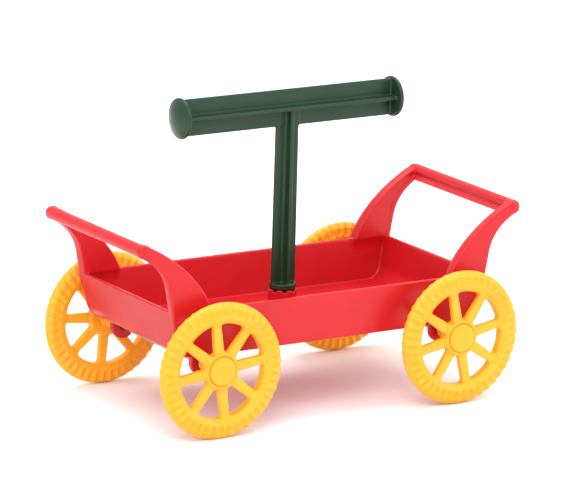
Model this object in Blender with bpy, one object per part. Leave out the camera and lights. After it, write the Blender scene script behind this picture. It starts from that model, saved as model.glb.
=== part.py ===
"""Toy carry wagon: open tray on four spoked wheels with a T-shaped carry handle.

+X runs along the wagon towards the front wheels, +Y to its left side, +Z up.
The ground plane is Z = 0 and the origin is midway between the four wheels.
All lengths are metres.
"""
import math

import bmesh
import bpy
from mathutils import Matrix, Vector

# ---------------------------------------------------------------- driving sizes
FIT = 0.0003                 # clearance left between any two mating pieces

WHEEL_RADIUS = 0.0465
TREAD_WIDTH = 0.0105
TREAD_LUGS = 44
LUG_DEPTH = 0.0018
SPOKES = 8
SPOKE_WIDTH = 0.0059
SPOKE_DEPTH = 0.0042
SPOKE_PHASE = {"front_left": 20.0, "front_right": 11.5, "rear_left": 40.5, "rear_right": 7.0}
WHEEL_GAP = 0.00875           # tray rim to the inner face of a wheel
RIM_DEPTH = 0.01395          # tread ridge down to the inner edge of the rim
TYRE_DEPTH = 0.0098          # tread ridge down to where the smooth rim meets the lugs
RIM_LIP = 0.0006             # rim stands this far out of the spokes on each face
SHOULDER_DROP = 0.0014       # lug tops at the shoulder below the tread ridge
SHOULDER_IN = 0.0008         # lug tops at the shoulder in from the side of the tyre

TRAY_HALF_LENGTH = 0.1235    # outer face of an end wall at the rim
TRAY_HALF_WIDTH = 0.0625      # outer face of a side wall at the rim
TRAY_DEPTH = 0.0330          # rim down to the underside of the floor
FLOOR_THICK = 0.0030
END_WALL_THICK = 0.0030
SIDE_WALL_THICK = 0.0035
END_SLOPE = 0.18             # outward run per unit of height on the end walls
SIDE_SLOPE = 0.12            # the same on the side walls
CORNER_RADIUS = 0.015        # bottom corner of the tray seen from the side
FLOOR_ABOVE_AXLE = 0.0055

UPRIGHT_FOOT = 0.0282        # length of an upright along the rim
FLARE_RISE = 0.0148          # end walls run straight this far above the rim
FLARE_PULL = (0.0023, 0.0120)        # handles of the outer curve, out and up from its start
BAR_UNDER_PULL = (0.0110, 0.0095)    # and in and down from the grab bar
FOOT_PULL = (0.0052, 0.0168)         # handles of the inner curve, out and up from the foot
BAR_OVER_PULL = (0.0268, 0.0088)     # and in and down from the grab bar
BAR_UNDER = (0.0020, -0.0031)        # outer curve meets the grab bar here, from its axis
BAR_OVER = (-0.0023, 0.0030)         # inner curve meets it here
UPRIGHT_THICK = 0.0070       # thickness of an upright across the wagon
UPRIGHT_BLEND = 0.0060       # its inner face slopes back into the wall over this height
HAND_GAP_BACK = 0.0100       # hand gap cut reaches in past the foot of the uprights
GRAB_LIP = 0.0012            # end wall left standing below a grab bar
GRAB_BAR_OUT = 0.0235        # grab bar axis beyond the rim end
GRAB_BAR_UP = 0.0443         # grab bar axis above the rim
GRAB_BAR_RADIUS = 0.0041
GRAB_BAR_PROUD = 0.0010
GRAB_BAR_EASE = 0.0030       # length of the rounded end of a grab bar

SOCKET_RADIUS = 0.0096
SOCKET_HEIGHT = 0.0220       # top of the socket above the underside of the floor
SOCKET_NOTCHES = 8
NOTCH_WIDTH = 0.0028
NOTCH_DEPTH = 0.0020
SOCKET_DRAFT = 0.0010        # socket is wider at its foot by this radius

HANDLE_TOP_Z = 0.2000         # crossbar axis above the ground
CROSSBAR_HALF = 0.0828       # half length between the inside faces of the discs
CROSSBAR_PLATE = 0.0127      # half height of the upright web
CROSSBAR_SHELF = 0.0085      # half depth of the flat web
WEB_THICK = 0.0026
DISC_RADIUS = 0.0139
DISC_RIM = 0.0026
DISC_DOME = 0.0032
DISC_EDGE = 0.0006           # eased rim of a disc
POST_HALF = 0.0088           # half width of the post along the wagon
POST_RIB = 0.0078            # half depth of its cross rib
COLLAR_RADIUS = 0.0092
COLLAR_HEIGHT = 0.0040
COLLAR_EASE = (0.0014, 0.0010)       # chamfer on top of the collar, across and down
PLUG_RADIUS = 0.0059

AXLE_RADIUS = 0.0025
AXLE_EASE = (0.0006, 0.0008)         # chamfer on an axle end, across and along
AXLE_PROUD = 0.0012          # axle end beyond its push nut
AXLE_INSET = 0.0285          # axle in from the end of the rim
LUG_WIDTH_RADIUS = 0.0088    # rounded axle bracket around the axle
LUG_THICK = 0.0050
LUG_INSET = 0.0080           # bracket outer face in from the side of the rim
HUB_RADIUS = 0.0123
HUB_FRONT = 0.0032           # hub face beyond the middle plane of the wheel
HUB_WALL = 0.0022
SEAT_DEPTH = 0.0062          # push nut pocket below the hub face
HUB_BACK_WALL = 0.0016       # hub behind that pocket
SPOKE_CENTRE = -0.0006       # middle of the spokes from the middle plane of the wheel
HUB_EDGE = 0.0006            # eased front edge of the hub
SLEEVE_RADIUS = 0.0050
SLEEVE_TAPER = 0.0020        # run of the step from hub to sleeve
SPACER_LENGTH = 0.0014
SPACER_RADIUS = 0.0044
NUT_RADIUS = 0.0062
NUT_THICK = 0.0012
NUT_RIM = 0.0006             # flat rim of a push nut
NUT_CROWN = 0.0038           # radius of its raised middle
CAP_DOME = 0.0020
CAP_THICK = 0.0020
LOCK_WASHER_RADIUS = 0.0090
LOCK_WASHER_THICK = 0.0014
SCREW_HEAD_RADIUS = 0.0042
SCREW_HEAD_THICK = 0.0026
SCREW_RADIUS = 0.0017
SCREW_LENGTH = 0.0140
SCREW_POINT = 0.0012         # length of the point
SCREW_HEAD_EASE = 0.0010
SLOT_HALF = (0.0022, 0.00045)        # half length and half width of a driver slot
SLOT_DEPTH = 0.0012
PILOT_EXTRA = 0.0010         # pilot hole beyond the screw

# ---------------------------------------------------------------- making
SEAM = 0.0012                # overlap of two shapes moulded as one
PAST = 0.0020                # a cutter runs this far past what it cuts
CORNER_STEPS = 7
OUTER_STEPS = 8
INNER_STEPS = 10
SMALL_ROUND = 20             # sides of small turned shapes
ROUND = 32                   # sides of larger turned shapes
SOCKET_ROUND = 40            # keeps the notches clear of the socket's corners

# ---------------------------------------------------------------- sizes that follow
FLOOR_Z = WHEEL_RADIUS + FLOOR_ABOVE_AXLE
RIM_Z = FLOOR_Z + TRAY_DEPTH
AXLE_X = TRAY_HALF_LENGTH - AXLE_INSET
WHEEL_Y = TRAY_HALF_WIDTH + WHEEL_GAP + TREAD_WIDTH / 2
LUG_OUT_Y = TRAY_HALF_WIDTH - LUG_INSET
SPACER_IN_Y = LUG_OUT_Y + FIT
SPACER_OUT_Y = SPACER_IN_Y + SPACER_LENGTH
SLEEVE_END_Y = SPACER_OUT_Y + FIT
BORE_RADIUS = AXLE_RADIUS + FIT
CAP_SEAT_RADIUS = HUB_RADIUS - HUB_WALL
SOCKET_TOP_Z = FLOOR_Z + SOCKET_HEIGHT
PLUG_BORE = PLUG_RADIUS + FIT
BAR_X = TRAY_HALF_LENGTH + GRAB_BAR_OUT
BAR_Z = RIM_Z + GRAB_BAR_UP
COLLAR_Z = SOCKET_TOP_Z + FIT

# ---------------------------------------------------------------- scene set-up
for old in list(bpy.data.objects):
    bpy.data.objects.remove(old, do_unlink=True)

wagon = bpy.data.collections.new("toy_carry_wagon")
bpy.context.scene.collection.children.link(wagon)
cutters = bpy.data.collections.new("cutters")
bpy.context.scene.collection.children.link(cutters)


def material(name, colour, roughness, metallic=0.0):
    """One plain Principled material."""
    mat = bpy.data.materials.new(name)
    mat.use_nodes = True
    shader = mat.node_tree.nodes["Principled BSDF"]
    shader.inputs["Base Color"].default_value = (*colour, 1.0)
    shader.inputs["Roughness"].default_value = roughness
    shader.inputs["Metallic"].default_value = metallic
    mat.diffuse_color = (*colour, 1.0)
    return mat


RED = (0.70, 0.020, 0.026)
GREEN = (0.062, 0.130, 0.068)
YELLOW = (0.95, 0.56, 0.050)
STEEL = (0.56, 0.56, 0.57)


def add_object(name, mesh, place=(0.0, 0.0, 0.0), collection=wagon):
    """Put a mesh in the scene under its own name."""
    obj = bpy.data.objects.new(name, mesh)
    obj.location = place
    collection.objects.link(obj)
    return obj


def finish_mesh(name, bm):
    """Turn a bmesh into a mesh with outward faces."""
    bmesh.ops.recalc_face_normals(bm, faces=bm.faces)
    mesh = bpy.data.meshes.new(name)
    bm.to_mesh(mesh)
    bm.free()
    return mesh


def dress(obj, colour, roughness, metallic=0.0, crease=35.0):
    """Own material and smooth shading with crisp edges."""
    obj.data.materials.clear()
    obj.data.materials.append(material(obj.name + "_material", colour, roughness, metallic))
    obj.data.shade_smooth()
    obj.data.set_sharp_from_angle(angle=math.radians(crease))


# ---------------------------------------------------------------- shape helpers
def bezier(p0, p1, p2, p3, steps):
    """Points on a cubic curve, both ends included."""
    points = []
    for i in range(steps + 1):
        t = i / steps
        s = 1.0 - t
        weights = (s ** 3, 3 * s * s * t, 3 * s * t * t, t ** 3)
        x = sum(w * p[0] for w, p in zip(weights, (p0, p1, p2, p3)))
        z = sum(w * p[1] for w, p in zip(weights, (p0, p1, p2, p3)))
        points.append((x, z))
    return points


def arc(centre, radius, start, end, steps):
    """Points on a circular arc, angles in radians."""
    points = []
    for i in range(steps + 1):
        angle = start + (end - start) * i / steps
        points.append((centre[0] + radius * math.cos(angle), centre[1] + radius * math.sin(angle)))
    return points


def offset(points, distance):
    """Open polyline moved sideways, positive to the left of its direction."""
    moved = []
    for i, point in enumerate(points):
        before = points[max(i - 1, 0)]
        after = points[min(i + 1, len(points) - 1)]
        direction = Vector((after[0] - before[0], after[1] - before[1])).normalized()
        moved.append((point[0] - direction.y * distance, point[1] + direction.x * distance))
    return moved


def mirrored(points):
    """The same outline on the other end of the wagon, order reversed."""
    return [(-x, z) for x, z in reversed(points)]


def prism(name, outline, near, far):
    """Solid between two copies of an XZ outline; near and far give Y from Z."""
    bm = bmesh.new()
    low = [bm.verts.new((x, near(z), z)) for x, z in outline]
    high = [bm.verts.new((x, far(z), z)) for x, z in outline]
    bm.faces.new(low)
    bm.faces.new(list(reversed(high)))
    count = len(outline)
    for i in range(count):
        j = (i + 1) % count
        bm.faces.new((low[j], low[i], high[i], high[j]))
    return finish_mesh(name, bm)


def flat(value):
    """Constant Y for a prism."""
    return lambda z: value


def lathe(name, profile, segments, axis="Y", ripple=None):
    """Closed ring turned about an axis from (radius, along) points.

    A profile that starts and ends on the axis is closed there with end fans.
    ripple(point index, segment index) gives a radius change.
    """
    bm = bmesh.new()
    rings = []
    for index, (radius, along) in enumerate(profile):
        if radius == 0.0:
            rings.append([bm.verts.new((0.0, along, 0.0))])
            continue
        ring = []
        for step in range(segments):
            angle = 2 * math.pi * step / segments
            reach = radius + (ripple(index, step) if ripple else 0.0)
            ring.append(bm.verts.new((reach * math.cos(angle), along, reach * math.sin(angle))))
        rings.append(ring)
    open_ended = profile[0][0] == 0.0
    pairs = len(rings) - 1 if open_ended else len(rings)
    for i in range(pairs):
        one = rings[i]
        two = rings[(i + 1) % len(rings)]
        for step in range(segments):
            after = (step + 1) % segments
            if len(one) == 1:
                bm.faces.new((one[0], two[step], two[after]))
            elif len(two) == 1:
                bm.faces.new((one[step], two[0], one[after]))
            else:
                bm.faces.new((one[step], two[step], two[after], one[after]))
    if axis == "X":
        bm.transform(Matrix.Rotation(math.radians(-90), 4, "Z"))
    if axis == "Z":
        bm.transform(Matrix.Rotation(math.radians(90), 4, "X"))
    return finish_mesh(name, bm)


def block(name, low, high):
    """Axis-aligned box between two corners."""
    bm = bmesh.new()
    bmesh.ops.create_cube(bm, size=1.0)
    for vert in bm.verts:
        vert.co = Vector([low[i] + (high[i] - low[i]) * (vert.co[i] + 0.5) for i in range(3)])
    return finish_mesh(name, bm)


def combine(target, mesh, operation, name, place=(0.0, 0.0, 0.0)):
    """Live Boolean against a helper kept in the cutters collection."""
    helper = add_object(name, mesh, place, cutters)
    helper.hide_render = True
    helper.display_type = "WIRE"
    modifier = target.modifiers.new(name, "BOOLEAN")
    modifier.operation = operation
    modifier.solver = "EXACT"
    modifier.object = helper
    return modifier


# ---------------------------------------------------------------- tray outlines
def key_of(point):
    """One key for one place in an outline."""
    return (round(point[0], 7), round(point[1], 7))


def end_x(z):
    """Outer face of the front end wall at a height."""
    return TRAY_HALF_LENGTH + (z - RIM_Z) * END_SLOPE


def side_y(z):
    """Outer face of the left side wall at a height, upright above the rim."""
    return TRAY_HALF_WIDTH - max(0.0, RIM_Z - z) * SIDE_SLOPE


turn = math.pi / 2 - math.atan(END_SLOPE)
reach = CORNER_RADIUS * math.tan(turn / 2)
corner_centre = (end_x(FLOOR_Z) - reach, FLOOR_Z + CORNER_RADIUS)
corner = arc(corner_centre, CORNER_RADIUS, -math.pi / 2, -math.pi / 2 + turn, CORNER_STEPS)

FLARE_Z = RIM_Z + FLARE_RISE
flare_start = (end_x(FLARE_Z), FLARE_Z)
bar_under = (BAR_X + BAR_UNDER[0], BAR_Z + BAR_UNDER[1])
outer_curve = bezier(
    flare_start,
    (flare_start[0] + FLARE_PULL[0], flare_start[1] + FLARE_PULL[1]),
    (BAR_X - BAR_UNDER_PULL[0], BAR_Z - BAR_UNDER_PULL[1]),
    bar_under,
    OUTER_STEPS,
)
foot = (TRAY_HALF_LENGTH - UPRIGHT_FOOT, RIM_Z)
bar_over = (BAR_X + BAR_OVER[0], BAR_Z + BAR_OVER[1])
inner_curve = bezier(
    foot,
    (foot[0] + FOOT_PULL[0], foot[1] + FOOT_PULL[1]),
    (BAR_X - BAR_OVER_PULL[0], BAR_Z - BAR_OVER_PULL[1]),
    bar_over,
    INNER_STEPS,
)
rim_end = (end_x(RIM_Z), RIM_Z)


upright_outline = [rim_end] + outer_curve + list(reversed(inner_curve))


def side_plate(name, side):
    """One side of the tray, drafted below the rim, with its two thicker uprights."""
    lower_right = corner + [rim_end, foot]
    lower = lower_right + mirrored(lower_right)
    uprights = (upright_outline, mirrored(upright_outline))
    bm = bmesh.new()

    def row(loops, inset):
        points = {}
        for x, z in [p for loop in loops for p in loop]:
            points[key_of((x, z))] = bm.verts.new((x, side * (side_y(z) - inset), z))
        return points

    def pairs(loop):
        return [(key_of(p), key_of(q)) for p, q in zip(loop, loop[1:] + loop[:1])]

    outer = row([lower + uprights[0] + uprights[1]], 0.0)
    wall = row([lower], SIDE_WALL_THICK)
    thick = row(uprights, UPRIGHT_THICK)
    lower_edges = {frozenset(pair) for pair in pairs(lower)}
    upright_edges = {frozenset(pair) for loop in uprights for pair in pairs(loop)}
    for loop, inner in ((lower, wall), (uprights[0], thick), (uprights[1], thick)):
        bm.faces.new([outer[key_of(p)] for p in loop])
        bm.faces.new([inner[key_of(p)] for p in loop])
    for a, b in pairs(lower):
        if frozenset((a, b)) in upright_edges:
            bm.faces.new((wall[a], wall[b], thick[b], thick[a]))
        else:
            bm.faces.new((outer[a], outer[b], wall[b], wall[a]))
    for a, b in [pair for loop in uprights for pair in pairs(loop)]:
        if frozenset((a, b)) not in lower_edges:
            near_b = [wall[b]] if b in wall else []
            near_a = [wall[a]] if a in wall else []
            bm.faces.new([outer[a], outer[b]] + near_b + [thick[b], thick[a]] + near_a)
    return finish_mesh(name, bm)


# ---------------------------------------------------------------- tray
tray = add_object("tray_body", side_plate("tray_body", 1.0))
combine(tray, side_plate("tray_right_side", -1.0), "UNION", "tray_right_side")

shell_outer_right = corner + [rim_end] + outer_curve
shell_inner_right = [(corner[0][0], FLOOR_Z + FLOOR_THICK)] + offset(shell_outer_right, END_WALL_THICK)[1:]
shell_outline = (
    mirrored(shell_outer_right) + shell_outer_right
    + list(reversed(shell_inner_right)) + list(reversed(mirrored(shell_inner_right)))
)
shell = add_object(
    "tray_floor_and_ends",
    prism("tray_floor_and_ends", shell_outline,
          lambda z: -side_y(z) + SEAM, lambda z: side_y(z) - SEAM),
    collection=cutters,
)
shell.hide_render = True
shell.display_type = "WIRE"
HAND_GAP_HALF = TRAY_HALF_WIDTH - UPRIGHT_THICK
for end in (1, -1):
    x_pair = sorted((end * (foot[0] - HAND_GAP_BACK), end * (BAR_X + GRAB_BAR_RADIUS + PAST)))
    gap = block(
        "hand_gap_cutter",
        (x_pair[0], -HAND_GAP_HALF, RIM_Z),
        (x_pair[1], HAND_GAP_HALF, BAR_Z - GRAB_BAR_RADIUS - GRAB_LIP),
    )
    combine(shell, gap, "DIFFERENCE", "hand_gap_cutter_%s" % ("front" if end > 0 else "rear"))
join = tray.modifiers.new("floor_and_ends", "BOOLEAN")
join.operation = "UNION"
join.solver = "EXACT"
join.object = shell

bar_end = TRAY_HALF_WIDTH + GRAB_BAR_PROUD
END_ROUND_STEPS = 3
bar_round = [
    (GRAB_BAR_RADIUS * math.sin(k * math.pi / 2 / END_ROUND_STEPS),
     bar_end - GRAB_BAR_EASE * (1 - math.cos(k * math.pi / 2 / END_ROUND_STEPS)))
    for k in range(END_ROUND_STEPS + 1)
]
bar_round[0] = (0.0, bar_end)
bar_profile = [(r, -y) for r, y in bar_round] + list(reversed(bar_round))
upright_inner_y = TRAY_HALF_WIDTH - UPRIGHT_THICK
blend_low_z = RIM_Z - UPRIGHT_BLEND
blend_outline = [
    (foot[0], blend_low_z), (end_x(blend_low_z) - SEAM, blend_low_z),
    (end_x(RIM_Z) - SEAM, RIM_Z + SEAM), (foot[0] + SEAM, RIM_Z + SEAM),
]


def blend_face(z):
    """Sloping inner face from the wall up to the inner face of an upright."""
    wall_y = side_y(blend_low_z) - SIDE_WALL_THICK + FIT
    share = (z - blend_low_z) / (UPRIGHT_BLEND + SEAM)
    return wall_y + (upright_inner_y + FIT - wall_y) * share


for end in (1, -1):
    tag = "front" if end > 0 else "rear"
    for side in (1, -1):
        hand = "left" if side > 0 else "right"
        piece = prism("upright_blend", blend_outline, blend_face, lambda z: side_y(z) - SEAM)
        piece.transform(Matrix.Diagonal((end, side, 1.0, 1.0)))
        if end * side < 0:
            piece.flip_normals()
        combine(tray, piece, "UNION", "upright_blend_%s_%s" % (tag, hand))
    combine(tray, lathe("grab_bar", bar_profile, SMALL_ROUND), "UNION", "grab_bar_%s" % tag,
            (end * BAR_X, 0.0, BAR_Z))

combine(
    tray,
    lathe("socket_boss", [(0.0, FLOOR_Z + FLOOR_THICK / 2),
                          (SOCKET_RADIUS + SOCKET_DRAFT, FLOOR_Z + FLOOR_THICK / 2),
                          (SOCKET_RADIUS, SOCKET_TOP_Z), (0.0, SOCKET_TOP_Z)], SOCKET_ROUND, "Z"),
    "UNION", "socket_boss",
)
for end in (1, -1):
    tag = "front" if end > 0 else "rear"
    for side in (1, -1):
        hand = "left" if side > 0 else "right"
        low_arc = arc((0.0, 0.0), LUG_WIDTH_RADIUS, math.pi, 2 * math.pi, INNER_STEPS)
        top = FLOOR_ABOVE_AXLE + FLOOR_THICK / 2
        outline = low_arc + [(LUG_WIDTH_RADIUS, top), (-LUG_WIDTH_RADIUS, top)]
        y_pair = sorted((side * LUG_OUT_Y, side * (LUG_OUT_Y - LUG_THICK)))
        combine(tray, prism("axle_bracket", outline, flat(y_pair[0]), flat(y_pair[1])), "UNION",
                "axle_bracket_%s_%s" % (tag, hand), (end * AXLE_X, 0.0, WHEEL_RADIUS))
    bore = lathe("axle_bore", [(0.0, -LUG_OUT_Y - PAST), (BORE_RADIUS, -LUG_OUT_Y - PAST),
                               (BORE_RADIUS, LUG_OUT_Y + PAST), (0.0, LUG_OUT_Y + PAST)], SMALL_ROUND)
    combine(tray, bore, "DIFFERENCE", "axle_bore_%s" % tag, (end * AXLE_X, 0.0, WHEEL_RADIUS))
combine(
    tray,
    lathe("plug_bore", [(0.0, FLOOR_Z - PAST), (PLUG_BORE, FLOOR_Z - PAST),
                        (PLUG_BORE, SOCKET_TOP_Z + PAST), (0.0, SOCKET_TOP_Z + PAST)], SMALL_ROUND, "Z"),
    "DIFFERENCE", "plug_bore",
)
for index in range(SOCKET_NOTCHES // 2):
    notch = block("notch", (-SOCKET_RADIUS - PAST, -NOTCH_WIDTH / 2, SOCKET_TOP_Z - NOTCH_DEPTH),
                  (SOCKET_RADIUS + PAST, NOTCH_WIDTH / 2, SOCKET_TOP_Z + PAST))
    notch.transform(Matrix.Rotation(2 * math.pi * (index + 0.5) / SOCKET_NOTCHES, 4, "Z"))
    combine(tray, notch, "DIFFERENCE", "socket_notch_%d" % (index + 1))
dress(tray, RED, 0.34)

# ---------------------------------------------------------------- carry handle
bar_low = HANDLE_TOP_Z - CROSSBAR_PLATE
bar_high = HANDLE_TOP_Z + CROSSBAR_PLATE
post_low = COLLAR_Z + COLLAR_HEIGHT / 2
end_in = CROSSBAR_HALF + DISC_RIM / 2
web_outline = [
    (-end_in, bar_low), (-POST_HALF, bar_low), (-POST_HALF, post_low), (POST_HALF, post_low),
    (POST_HALF, bar_low), (end_in, bar_low), (end_in, bar_high), (-end_in, bar_high),
]
handle = add_object(
    "carry_handle",
    prism("carry_handle", web_outline, flat(-WEB_THICK / 2), flat(WEB_THICK / 2)),
)
combine(handle, block("shelf", (-end_in, -CROSSBAR_SHELF, HANDLE_TOP_Z - WEB_THICK / 2),
                      (end_in, CROSSBAR_SHELF, HANDLE_TOP_Z + WEB_THICK / 2)), "UNION", "handle_shelf")
combine(handle, block("rib", (-WEB_THICK / 2, -POST_RIB, post_low),
                      (WEB_THICK / 2, POST_RIB, HANDLE_TOP_Z)), "UNION", "handle_post_rib")
disc_profile = [
    (0.0, CROSSBAR_HALF),
    (DISC_RADIUS - DISC_EDGE, CROSSBAR_HALF),
    (DISC_RADIUS, CROSSBAR_HALF + DISC_EDGE),
    (DISC_RADIUS, CROSSBAR_HALF + DISC_RIM - DISC_EDGE),
] + [
    (DISC_RADIUS * math.cos(a), CROSSBAR_HALF + DISC_RIM + DISC_DOME * math.sin(a))
    for a in (math.radians(25), math.radians(53))
] + [(0.0, CROSSBAR_HALF + DISC_RIM + DISC_DOME)]
for end in (1, -1):
    disc = lathe("end_disc", disc_profile, ROUND, "X")
    if end < 0:
        disc.transform(Matrix.Rotation(math.pi, 4, "Z"))
    combine(handle, disc, "UNION", "handle_disc_%s" % ("front" if end > 0 else "rear"),
            (0.0, 0.0, HANDLE_TOP_Z))
plug_low = FLOOR_Z + FIT
foot_profile = [
    (0.0, plug_low),
    (PLUG_RADIUS, plug_low),
    (PLUG_RADIUS, COLLAR_Z),
    (COLLAR_RADIUS, COLLAR_Z),
    (COLLAR_RADIUS, COLLAR_Z + COLLAR_HEIGHT - COLLAR_EASE[1]),
    (COLLAR_RADIUS - COLLAR_EASE[0], COLLAR_Z + COLLAR_HEIGHT),
    (0.0, COLLAR_Z + COLLAR_HEIGHT),
]
combine(handle, lathe("foot_collar", foot_profile, ROUND, "Z"), "UNION", "handle_foot_collar")
pilot_top = plug_low + SCREW_LENGTH + PILOT_EXTRA
pilot = lathe("pilot", [(0.0, plug_low - PAST), (SCREW_RADIUS + FIT, plug_low - PAST),
                        (SCREW_RADIUS + FIT, pilot_top), (0.0, pilot_top)], SMALL_ROUND, "Z")
combine(handle, pilot, "DIFFERENCE", "handle_pilot_hole")
dress(handle, GREEN, 0.38)

# ---------------------------------------------------------------- handle fixing
washer_top = FLOOR_Z - FIT
washer_low = washer_top - LOCK_WASHER_THICK
washer_bore = SCREW_RADIUS + FIT
washer = add_object("handle_lock_washer", lathe("handle_lock_washer", [
    (washer_bore, washer_low), (LOCK_WASHER_RADIUS, washer_low),
    (LOCK_WASHER_RADIUS, washer_top), (washer_bore, washer_top)], ROUND, "Z"))
dress(washer, STEEL, 0.32, 1.0)
head_top = washer_low - FIT
head_low = head_top - SCREW_HEAD_THICK
screw = add_object("handle_lock_screw", lathe("handle_lock_screw", [
    (0.0, head_low), (SCREW_HEAD_RADIUS - SCREW_HEAD_EASE, head_low),
    (SCREW_HEAD_RADIUS, head_low + SCREW_HEAD_EASE), (SCREW_HEAD_RADIUS, head_top),
    (SCREW_RADIUS, head_top), (SCREW_RADIUS, head_top + SCREW_LENGTH - SCREW_POINT),
    (0.0, head_top + SCREW_LENGTH)], SMALL_ROUND, "Z"))
for index in range(2):
    slot = block("slot", (-SLOT_HALF[0], -SLOT_HALF[1], -PAST), (SLOT_HALF[0], SLOT_HALF[1], SLOT_DEPTH))
    slot.transform(Matrix.Rotation(math.radians(90 * index), 4, "Z"))
    combine(screw, slot, "DIFFERENCE", "screw_slot_%d" % (index + 1), (0.0, 0.0, head_low))
dress(screw, STEEL, 0.30, 1.0)

# ---------------------------------------------------------------- running gear
counterbore_floor = WHEEL_Y + HUB_FRONT - SEAT_DEPTH
nut_in = counterbore_floor + FIT
nut_out = nut_in + NUT_THICK
axle_end = nut_out + AXLE_PROUD
hub_face = HUB_FRONT
seat_floor = counterbore_floor - WHEEL_Y

half_tread = TREAD_WIDTH / 2
rim_inner = WHEEL_RADIUS - RIM_DEPTH
tyre_inner = WHEEL_RADIUS - TYRE_DEPTH
spoke_back = SPOKE_CENTRE - SPOKE_DEPTH / 2
spoke_front = SPOKE_CENTRE + SPOKE_DEPTH / 2
ring_profile = [
    (rim_inner, spoke_back - RIM_LIP),
    (tyre_inner, -half_tread),
    (WHEEL_RADIUS - SHOULDER_DROP, -half_tread + SHOULDER_IN),
    (WHEEL_RADIUS, 0.0),
    (WHEEL_RADIUS - SHOULDER_DROP, half_tread - SHOULDER_IN),
    (tyre_inner, half_tread),
    (rim_inner, spoke_front + RIM_LIP),
]


def tread_ripple(index, step):
    """Scalloped shoulder: every second point of the two shoulder rings drops."""
    if index in (2, 4) and step % 2:
        return -LUG_DEPTH
    return 0.0


hub_profile = [
    (BORE_RADIUS, SLEEVE_END_Y - WHEEL_Y),
    (BORE_RADIUS, seat_floor),
    (CAP_SEAT_RADIUS, seat_floor),
    (CAP_SEAT_RADIUS, hub_face),
    (HUB_RADIUS - HUB_EDGE, hub_face),
    (HUB_RADIUS, hub_face - HUB_EDGE),
    (HUB_RADIUS, seat_floor - HUB_BACK_WALL),
    (SLEEVE_RADIUS, seat_floor - HUB_BACK_WALL - SLEEVE_TAPER),
    (SLEEVE_RADIUS, SLEEVE_END_Y - WHEEL_Y),
]


def spokes_mesh(phase, side):
    """All spokes as separate bars from inside the hub wall into the rim."""
    bm = bmesh.new()
    inner = HUB_RADIUS - SEAM
    outer = rim_inner + SEAM
    for index in range(SPOKES):
        angle = 2 * math.pi * index / SPOKES + math.radians(phase)
        made = bmesh.ops.create_cube(bm, size=1.0)["verts"]
        for vert in made:
            along = inner + (outer - inner) * (vert.co.x + 0.5)
            deep = SPOKE_CENTRE * side + vert.co.y * SPOKE_DEPTH
            vert.co = Vector((along, deep, vert.co.z * SPOKE_WIDTH))
        bmesh.ops.rotate(bm, verts=made, cent=(0, 0, 0), matrix=Matrix.Rotation(angle, 3, "Y"))
    return finish_mesh("spokes", bm)


cap_radius = CAP_SEAT_RADIUS - FIT
cap_profile = [
    (0.0, hub_face - CAP_THICK),
    (cap_radius, hub_face - CAP_THICK),
] + [
    (cap_radius * math.cos(a), hub_face + CAP_DOME * math.sin(a))
    for a in (math.radians(6), math.radians(28), math.radians(54), math.radians(75))
] + [(0.0, hub_face + CAP_DOME)]


def sided(mesh, side):
    """The same piece turned to face the right side of the wagon."""
    if side < 0:
        mesh.transform(Matrix.Rotation(math.pi, 4, "Z"))
    return mesh


for end in (1, -1):
    tag = "front" if end > 0 else "rear"
    axle = add_object("axle_" + tag, lathe("axle_" + tag, [
        (0.0, -axle_end), (AXLE_RADIUS - AXLE_EASE[0], -axle_end), (AXLE_RADIUS, -axle_end + AXLE_EASE[1]),
        (AXLE_RADIUS, axle_end - AXLE_EASE[1]), (AXLE_RADIUS - AXLE_EASE[0], axle_end),
        (0.0, axle_end)], SMALL_ROUND),
        (end * AXLE_X, 0.0, WHEEL_RADIUS))
    dress(axle, STEEL, 0.30, 1.0)
    for side in (1, -1):
        hand = "left" if side > 0 else "right"
        label = "%s_%s" % (tag, hand)
        centre = (end * AXLE_X, side * WHEEL_Y, WHEEL_RADIUS)
        line = (end * AXLE_X, 0.0, WHEEL_RADIUS)

        wheel = add_object("wheel_" + label,
                           sided(lathe("wheel_" + label, hub_profile, ROUND), side), centre)
        combine(wheel, spokes_mesh(-SPOKE_PHASE[label], side), "UNION", "spokes_" + label, centre)
        ring = sided(lathe("tyre_" + label, ring_profile, 2 * TREAD_LUGS, "Y", tread_ripple), side)
        combine(wheel, ring, "UNION", "tyre_" + label, centre)
        dress(wheel, YELLOW, 0.40)

        cap = add_object("hub_cap_" + label,
                         sided(lathe("hub_cap_" + label, cap_profile, ROUND), side), centre)
        dress(cap, YELLOW, 0.36)

        spacer = add_object("axle_spacer_" + label, sided(lathe("axle_spacer_" + label, [
            (BORE_RADIUS, SPACER_IN_Y), (SPACER_RADIUS, SPACER_IN_Y),
            (SPACER_RADIUS, SPACER_OUT_Y), (BORE_RADIUS, SPACER_OUT_Y)], SMALL_ROUND), side), line)
        dress(spacer, STEEL, 0.42, 1.0)

        nut = add_object("push_nut_" + label, sided(lathe("push_nut_" + label, [
            (BORE_RADIUS, nut_in), (NUT_RADIUS, nut_in), (NUT_RADIUS, nut_in + NUT_RIM),
            (NUT_CROWN, nut_out), (BORE_RADIUS, nut_out)], SMALL_ROUND), side), line)
        dress(nut, STEEL, 0.34, 1.0)
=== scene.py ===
"""Looks of the toy wagon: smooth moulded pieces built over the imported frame."""

import math

import bmesh
import bpy
import numpy as np
from mathutils import Matrix, Vector


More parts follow.
